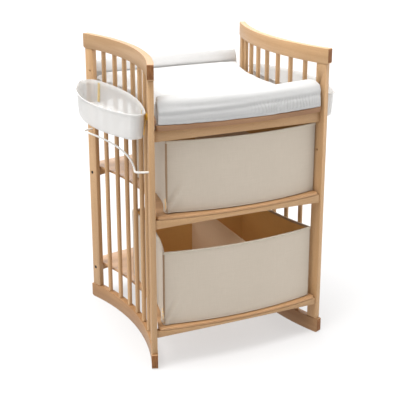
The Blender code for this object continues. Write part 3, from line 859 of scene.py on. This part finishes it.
def pad_folds(point, normal):
    """Soft level fold, hem and puckers on the front face; faint wrinkles elsewhere."""
    facing = smooth_step(0.35, 0.8, -normal.y)
    height = point.z - PAD_LOW
    wander = 0.003 * field.noise(Vector((point.x * 6.0, 0.0, 3.0)))
    slope = 0.006 * (point.x / 0.28)
    fold = 0.0016 * hill(height, 0.047 + wander + slope, 0.007)
    fold -= 0.0020 * hill(height, 0.036 + wander + slope, 0.005)
    where = smooth_step(-0.02, 0.10, point.x) * smooth_step(0.28, 0.20, point.x) * hill(height, 0.024, 0.016)
    stray = field.noise(Vector((point.x * 20.0, 0, height * 30.0)))
    pucker = 0.0012 * math.sin(point.x * 520.0 + 6.0 * stray)
    hem = -0.0012 * hill(height, 0.010, 0.0022)
    wrinkle = 0.0012 * field.noise(point * 14.0) + 0.0005 * field.noise(point * 45.0)
    return facing * (fold + pucker * where + hem) + wrinkle * (1.0 - 0.5 * facing)


def bolster_folds(point, normal):
    return 0.0012 * field.noise(point * 12.0) + 0.0005 * field.noise(point * 40.0)


def make_padding():
    pad = pad_surface("mattress_pad", pad_lines)
    bolster = pad_surface("mattress_back_bolster", bolster_lines)
    inflate([pad, bolster], PAD_SWELL)
    finish_pad(pad, pad_folds)
    finish_pad(bolster, bolster_folds)
    for item in (pad, bolster):
        settle(item, None, "pad", "white_cotton", "mattress")


# ---- textile boxes
def box_outline(name, inset):
    """Plan outline of a textile box, drawn in by `inset`; the corners start each run."""
    shift, front_middle, front_bow, _ = BOXES[name]

    def side_x(y):
        return half_width(BOX_OFFSET, min(y, MIDDLE_Y)) - inset

    def bow_y(x):
        return front_y(x, front_middle, front_bow, BOX_FRONT_HALF) + inset

    front_x = BOX_FRONT_HALF
    for _ in range(8):
        front_x = side_x(bow_y(front_x))
    rear = BOX_BACK + MIDDLE_Y - inset
    front = [(x, bow_y(x)) for x in spread(-front_x, front_x, BOX_RUNS[0])]
    right = [(side_x(y), y) for y in spread(front[-1][1], rear, BOX_RUNS[1])]
    back = [(x, rear) for x in spread(right[-1][0], -right[-1][0], BOX_RUNS[2])]
    left = [(-x, y) for x, y in reversed(right)]
    loop = rounded_loop([front, right, back, left], BOX_CORNER - inset * 0.6, CORNER_POINTS - 1)
    return [(x + shift, y) for x, y in loop]


def box_sag(x, y, height, tall, seed):
    """How far the canvas stands out of its flat place; x runs from the box's own middle."""
    up = height / tall
    front = smooth_step(-0.20, -0.26, y)
    belly = BOX_BELLY * math.sin(math.pi * min(max(up, 0.0), 1.0)) * front * math.cos(x * 5.0)
    side = (1.0 - front) * -BOX_SIDE_PULL * math.sin(math.pi * up) * math.sin(math.pi * (y + 0.33) / 0.43)
    from_corner = x + BOX_FRONT_HALF
    along = from_corner * 0.46 + height * 0.89
    off_line = from_corner * 0.89 - height * 0.46
    ridge = CREASE_RISE * hill(off_line, 0.002, 0.0060) - CREASE_DIP * hill(off_line, -0.011, 0.0075)
    crease = front * smooth_step(0.14, 0.05, along) * ridge
    waves = 0.0011 * field.noise(Vector((x * 7.0 + seed, y * 7.0, height * 4.0)))
    waves += 0.0005 * field.noise(Vector((x * 26.0, y * 26.0 + seed, height * 18.0)))
    edge = smooth_step(0.0, 0.05, up) * smooth_step(1.0, 0.93, up)
    return (belly + side + waves) * edge + crease


def box_skin(name, inset, z, out=0.0):
    """Outline at one height, moved by the sag along its own outward direction."""
    loop = box_outline(name, inset)
    low, high = low_and_high(name)
    shift, seed = BOXES[name][0], BOXES[name][3]
    count = len(loop)
    points = []
    for index, (x, y) in enumerate(loop):
        before, after = Vector(loop[index - 1]), Vector(loop[(index + 1) % count])
        run = (after - before).normalized()
        step = box_sag(x - shift, y, z - low, high - low, seed) + out
        points.append((x + run.y * step, y - run.x * step, z))
    return points


def stitches(name, path, outward, length=0.0028, gap=0.0014):
    """Row of short raised stitches along a path of points."""
    vertices, faces = [], []
    lengths = [math.dist(a, b) for a, b in zip(path, path[1:])]
    total, place = sum(lengths), gap
    index, passed = 0, 0.0
    half, thick = 0.00035, 0.0005
    while place + length < total:
        while passed + lengths[index] < place:
            passed += lengths[index]
            index += 1
        t = (place - passed) / lengths[index]
        start = Vector(mixed(path[index], path[index + 1], t))
        run = (Vector(path[index + 1]) - Vector(path[index])).normalized()
        out = Vector(outward[index])
        across = run.cross(out).normalized() * half
        base = len(vertices)
        middle = start + run * length / 2 + out * thick
        for point in (start - across, start + across, start + run * length + across,
                      start + run * length - across, middle - across * 0.8, middle + across * 0.8):
            vertices.append(tuple(point))
        faces += [(base, base + 1, base + 5, base + 4), (base + 2, base + 3, base + 4, base + 5),
                  (base + 1, base + 2, base + 5), (base + 3, base, base + 4),
                  (base + 3, base + 2, base + 1, base)]
        place += length + gap
    return make_piece(name, vertices, faces, THREAD)


def outwards(loop):
    """Outward direction at each point of a closed plan outline."""
    count = len(loop)
    found = []
    for index in range(count):
        run = (Vector(loop[(index + 1) % count]) - Vector(loop[index - 1])).normalized()
        found.append((run.y, -run.x, 0.0))
    return found


def make_box(name):
    low, high = low_and_high(name)
    body = "upper_basket" if name == "upper_box" else "lower_basket"
    heights = spread(low + 0.004, high, 34)
    loops = [box_skin(name, 0.0035, low), box_skin(name, 0.0008, low + 0.0012)]
    loops += [box_skin(name, 0.0, z) for z in heights]
    loops += [box_skin(name, BOX_WALL, z) for z in reversed(heights[1:])]
    loops += [box_skin(name, BOX_WALL + 0.001, low + BOX_WALL)]
    shell = loft(f"{name}_canvas", loops, CANVAS)
    # The inner faces take the painted-shade colour with its painted glow
    shell.data.materials.append(SHADED_INSIDE)
    shaded_inside_from = (len(heights) + 2) * len(loops[0])
    for polygon in shell.data.polygons:
        if polygon.index >= shaded_inside_from and polygon.center.z > low + 0.0005:
            polygon.material_index = 1
    settle(shell, 50.0, body, "cream_canvas", name)
    # binding folded over the rim
    drop = high - BINDING_HEIGHT
    t = BINDING_THICK
    profile = [(0.0, drop, t * 0.3), (0.0, drop + 0.0004, t), (0.0, high - 0.002, t),
               (0.0, high - 0.0002, t * 0.5), (0.0012, high + 0.0004, 0.0),
               (BOX_WALL - 0.0012, high + 0.0004, 0.0),
               (BOX_WALL, high - 0.0002, -t * 0.5), (BOX_WALL, high - 0.002, -t),
               (BOX_WALL, drop + 0.0004, -t), (BOX_WALL, drop, -t * 0.3)]
    rings = [box_skin(name, inset, z, out) for inset, z, out in profile]
    binding = loft(f"{name}_binding", rings, BINDING, ring=True)
    settle(binding, 60.0, body, "cream_canvas")
    row = box_skin(name, 0.0, drop + 0.0015, t)
    sewn = stitches(f"{name}_rim_stitches", row + row[:1], outwards([p[:2] for p in row]))
    settle(sewn, None, body, "cream_canvas")
    make_corner_seams(name, body, low, high)
    make_divider(name, body)


def make_corner_seams(name, body, low, high):
    """Tape sewn over each corner of a box, and the piped seam that joins its floor."""
    count = len(box_outline(name, 0.0))
    at = 0
    for index, run in enumerate(BOX_RUNS):
        at += run - 1 + CORNER_POINTS
        corner = at - 1 - CORNER_POINTS // 2
        span = [(corner + step) % count for step in range(-CORNER_POINTS // 2 + 1, CORNER_POINTS // 2 + 1)]
        loops = []
        for z in spread(low + 0.003, high - BINDING_HEIGHT - 0.0002, 30):
            outer = box_skin(name, 0.0, z, TAPE_THICK)
            inner = box_skin(name, 0.0, z, -TAPE_THICK)
            loops.append([outer[k] for k in span] + [inner[k] for k in reversed(span)])
        tape = loft(f"{name}_corner_tape_{index + 1}", loops, SEAM)
        settle(tape, 50.0, body, "cream_canvas")
    floor_seam = box_skin(name, 0.0, low + 0.0030, 0.0004)
    outs = outwards([p[:2] for p in floor_seam])
    loops = []
    for k in range(8):
        a = math.tau * k / 8
        aside, rise = PIPING * math.cos(a), PIPING * math.sin(a)
        loops.append([(x + o[0] * aside, y + o[1] * aside, z + rise)
                      for (x, y, z), o in zip(floor_seam, outs)])
    piping = loft(f"{name}_floor_seam", loops, CANVAS, ring=True)
    settle(piping, 60.0, body, "cream_canvas")


def make_divider(name, body):
    """Stiffened canvas panel between the front and back walls, bound along its top."""
    node_name = f"{name}_divider"
    first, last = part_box(node_name)
    middle, thick = (first.x + last.x) / 2, last.x - first.x
    loops = []
    profile = [(-0.5, first.z), (-0.5, last.z - 0.0012), (-0.25, last.z), (0.25, last.z),
               (0.5, last.z - 0.0012), (0.5, first.z)]
    for y in spread(first.y, last.y, 30):
        bow = math.sin(math.pi * (y - first.y) / (last.y - first.y))
        ring = []
        for share, z in profile:
            up = (z - first.z) / (last.z - first.z)
            sway = 0.003 * bow * math.sin(math.pi * 0.9 * up)
            sway += 0.001 * field.noise(Vector((y * 9.0, up * 3.0, 2.0)))
            ring.append((middle + share * thick + sway * smooth_step(0.0, 0.1, bow), y, z))
        loops.append(ring)
    # The divider carries the painted light: a lighter colour and a faint glow
    panel = loft(f"{node_name}_canvas", loops, DIVIDER_PAINTED_LIGHT)
    step = panel.modifiers.new("subdivide", "SUBSURF")
    step.subdivision_type = "SIMPLE"
    step.levels = 1
    step.render_levels = 1
    settle(panel, 50.0, body, "cream_canvas", node_name)


# ---- hanging bins and straps
def bin_outline(side, inset, end_inset):
    """Plan outline of a bin: a bowed outer edge, a back that follows the panel, rounded ends."""
    arc_x = BIN_REACH - BIN_ARC

    def outer_x(y):
        return arc_x + math.sqrt((BIN_ARC - inset) ** 2 - (y - BIN_MIDDLE_Y) ** 2)

    def inner_x(y):
        return half_width(-BIN_CLEAR - inset, y + MIDDLE_Y)

    near = BIN_MIDDLE_Y - BIN_HALF_LENGTH + end_inset
    far = BIN_MIDDLE_Y + BIN_HALF_LENGTH - end_inset
    outer = [(outer_x(y), y) for y in spread(near, far, 56)]
    inner = [(inner_x(y), y) for y in spread(far, near, 56)]
    far_end = [mixed(outer[-1], inner[0], t) for t in (0.0, 0.5, 1.0)]
    near_end = [mixed(inner[-1], outer[0], t) for t in (0.0, 0.5, 1.0)]
    loop = rounded_loop([outer, far_end, inner, near_end], BIN_CORNER - inset * 0.8, 12)
    return [(side * x, y + MIDDLE_Y) for x, y in loop]


def make_bin(side_name):
    """Milky shell with a rolled rim, a softly rounded foot and even walls."""
    name = f"{side_name}_bin"
    low, high = low_and_high(name)
    foot, rim = BIN_FOOT_ROUND, BIN_RIM_RADIUS
    # each row is: how far the sides and the ends are drawn in, and the height
    shape = []
    for a in spread(0.0, 90.0, 7):
        turn = math.radians(a)
        rise = 1 - math.sin(turn)
        shape.append((BIN_FOOT[0] + foot * 0.5 * rise, BIN_FOOT[1] + foot * rise,
                      low + foot * (1 - math.cos(turn))))
    wall = [(*BIN_FOOT, low + foot), (*BIN_SHOULDER, high - 0.008)]
    shape += [mixed(*wall, t) for t in spread(0.1, 1.0, 8)]
    for a in spread(-60.0, 170.0, 12):
        turn = math.radians(a)
        across = BIN_RIM_CENTRE - rim * math.cos(turn)
        shape.append((across, across, high - rim + rim * math.sin(turn)))
    inner_top = (BIN_SHOULDER[0] + BIN_WALL, BIN_SHOULDER[1] + BIN_WALL, high - 0.007)
    inner_foot = (BIN_FOOT[0] + BIN_WALL, BIN_FOOT[1] + BIN_WALL + 0.0005, low + foot)
    shape += [mixed(inner_top, inner_foot, t) for t in spread(0.0, 1.0, 8)]
    for a in spread(0.0, 90.0, 6)[1:]:
        turn = math.radians(a)
        shape.append((inner_foot[0] + foot * 0.4 * math.sin(turn),
                      inner_foot[1] + foot * 0.8 * (1 - math.cos(turn)),
                      low + BIN_WALL + (foot - BIN_WALL) * (1 - math.sin(turn))))
    side = SIDES[side_name]
    loops = [[(x, y, z) for x, y in bin_outline(side, inset, end_inset)] for inset, end_inset, z in shape]
    shell = loft(f"{name}_shell", loops, POLYPROPYLENE)
    settle(shell, 60.0, f"{side_name}_holder", "translucent_plastic", name)


def strap_section(side, degrees, corners, offset, thick, width, z):
    """Section of a strap that follows the panel; corners are shares of its width and thickness."""
    section = []
    for share, depth in corners:
        place = offset + depth * thick
        swing = math.degrees(share * width / (ARC_RADIUS + place))
        section.append((*panel_point(side, place, degrees + swing), z))
    return section


def make_strap(side_name, end_name):
    """Rubber strap: a ring round a spindle, a keyhole-shaped top and a tapering tail."""
    side, end = SIDES[side_name], ENDS[end_name]
    name = f"{side_name}_{end_name}_strap"
    low, high = low_and_high(name)
    x, y = panel_point(side, SPINDLE_OFFSET, end * STRAP_ANGLE)
    ease = 0.0006
    inner, outer = STRAP_RING_INNER, STRAP_RING_OUTER
    foot, top = STRAP_RING_LOW, STRAP_RING_HIGH
    profile = [(outer - ease, foot), (outer, foot + ease), (outer, top - ease), (outer - ease, top),
               (inner + ease, top), (inner, top - ease), (inner, foot + ease), (inner + ease, foot)]
    ring = loft(f"{name}_ring", turned_loops(profile, (x, y, 0), (0, 0, 1), 40), RUBBER, ring=True)
    settle(ring, 50.0, f"{side_name}_holder", "orange_rubber", name)
    corners = [(-0.5, 0.3), (-0.42, 0.0), (0.42, 0.0), (0.5, 0.3), (0.5, 0.7), (0.42, 1.0), (-0.42, 1.0),
               (-0.5, 0.7)]
    loops = []
    for z in spread(low, high - 0.0003, 48):
        width = STRAP_NARROW + (STRAP_WIDE - STRAP_NARROW) * smooth_step(STRAP_NECK, STRAP_SHOULDER, z)
        above = max(z - high + STRAP_ROUND, 0.0) / STRAP_ROUND
        under = max(low + STRAP_NARROW / 2 - z, 0.0) / (STRAP_NARROW / 2 + 0.0001)
        width *= math.sqrt(1.0 - above ** 2) * math.sqrt(1.0 - under ** 2)
        lean = STRAP_LEAN * max(STRAP_SHOULDER - z, 0.0) / (STRAP_SHOULDER - low)
        offset = STRAP_INNER_RADIUS - lean - ARC_RADIUS
        loops.append(strap_section(side, end * STRAP_ANGLE, corners, offset, STRAP_THICK, width, z))
    tail = loft(f"{name}_tail", loops, RUBBER)
    settle(tail, 50.0, f"{side_name}_holder", "orange_rubber")
    make_tongue(name, side_name, end * STRAP_ANGLE)


def make_tongue(name, side_name, degrees):
    """Thin tongue of a strap, lying against the inside of the bin's wall."""
    side = SIDES[side_name]
    bin_low, bin_high = low_and_high(f"{side_name}_bin")
    low, high = bin_low + 0.012, bin_high - 0.0052
    corners = [(-0.5, 0.0), (0.5, 0.0), (0.5, 1.0), (-0.5, 1.0)]
    loops = []
    for t in spread(0.0, 1.0, 24):
        wall = BIN_WALL + BIN_FOOT[0] + (BIN_SHOULDER[0] - BIN_FOOT[0]) * t
        offset = -BIN_CLEAR - wall - 0.0002
        z = low + (high - low) * t
        loops.append(strap_section(side, degrees, corners, offset, -TONGUE_THICK, TONGUE_WIDTH, z))
    tongue = loft(f"{name}_tongue", loops, TONGUE)
    bevel(tongue, 0.0003, 2)
    settle(tongue, 50.0, f"{side_name}_holder", "orange_rubber")


# ---- studio
def aimed(name, data, forward):
    """Object that looks along a direction."""
    item = bpy.data.objects.new(name, data)
    bpy.context.scene.collection.objects.link(item)
    item.rotation_mode = "QUATERNION"
    item.rotation_quaternion = Vector(forward).to_track_quat("-Z", "Y")
    return item


def make_studio():
    scene = bpy.context.scene
    scene.view_settings.view_transform = "Standard"
    level = math.cos(CAMERA_PITCH)
    forward = (math.sin(CAMERA_YAW) * level, math.cos(CAMERA_YAW) * level, -math.sin(CAMERA_PITCH))
    camera = aimed("camera", bpy.data.cameras.new("camera"), forward)
    camera.location = CAMERA_PLACE
    camera.data.lens = CAMERA_LENS
    camera.data.shift_y = CAMERA_SHIFT_Y
    camera.data.clip_end = 200.0
    scene.camera = camera
    corners = [(x * FLOOR_REACH, y * FLOOR_REACH, FLOOR_Z) for x, y in ((-1, -1), (1, -1), (1, 1), (-1, 1))]
    floor = make_piece("floor", corners, [(0, 1, 2, 3)], floor_finish())
    world = bpy.data.worlds.new("studio")
    scene.world = world
    world.use_nodes = True
    world.node_tree.nodes["Background"].inputs[0].default_value = (1.0, 1.0, 1.0, 1.0)
    tree = world.node_tree
    facing = node(tree, "VectorMath", {0: node(tree, "TexCoord").outputs["Generated"], 1: BACKDROP_TOWARDS},
                  operation="DOT_PRODUCT")
    glow = ranged(tree, facing.outputs["Value"], 0.25, 0.9, 0.12, 1.1)
    tree.links.new(glow, tree.nodes["Background"].inputs[1])
    for name, direction, strength, angle, colour in (
            ("key", (0.15, -0.02, -1.0), 4.2, 42.0, (1.0, 0.995, 0.985)),
            ("left_fill", (1.0, 0.10, -0.95), 1.75, 50.0, (1.0, 0.99, 0.975)),
            ("right_fill", (-1.0, 0.36, -0.3), 1.9, 50.0, (1.0, 0.985, 0.965)),
            ("rim", (-0.41, -0.91, -0.30), 0.8, 50.0, (1.0, 1.0, 1.0))):
        lamp = aimed(name, bpy.data.lights.new(name, "SUN"), direction)
        lamp.data.energy = strength
        lamp.data.angle = math.radians(angle)
        lamp.data.color = colour
        lamp.visible_diffuse = name != "rim"       # the rim light only adds gloss


# ---- build
make_studio()
for side_name, side in SIDES.items():
    for rail_name in ("bottom_rail", "top_rail"):
        make_rail(f"{side_name}_{rail_name}", side)
    for end_name in ENDS:
        make_post(side_name, end_name)
    for number in range(-SPINDLES_EACH_SIDE, SPINDLES_EACH_SIDE + 1):
        make_spindle(side_name, number)
make_board("lower_shelf_board", BOARD_BEECH, "beech_board")
make_board("middle_shelf_board", BOARD_BEECH, "beech_board")
# The tray takes the darker wood, which is painted shade
make_board("tray_board", SHADED_TRAY_BEECH, "beech_tray", TRAY_BEVEL - TRAY_PROUD, -TRAY_PROUD)
for level in LEVELS:
    for end_name in ENDS:
        make_apron(level, end_name)
        for side_name in SIDES:
            make_bolt(level, side_name, end_name)
make_towel_rod()
make_padding()
make_box("upper_box")
make_box("lower_box")
for side_name in SIDES:
    make_bin(side_name)
    for end_name in ENDS:
        make_strap(side_name, end_name)
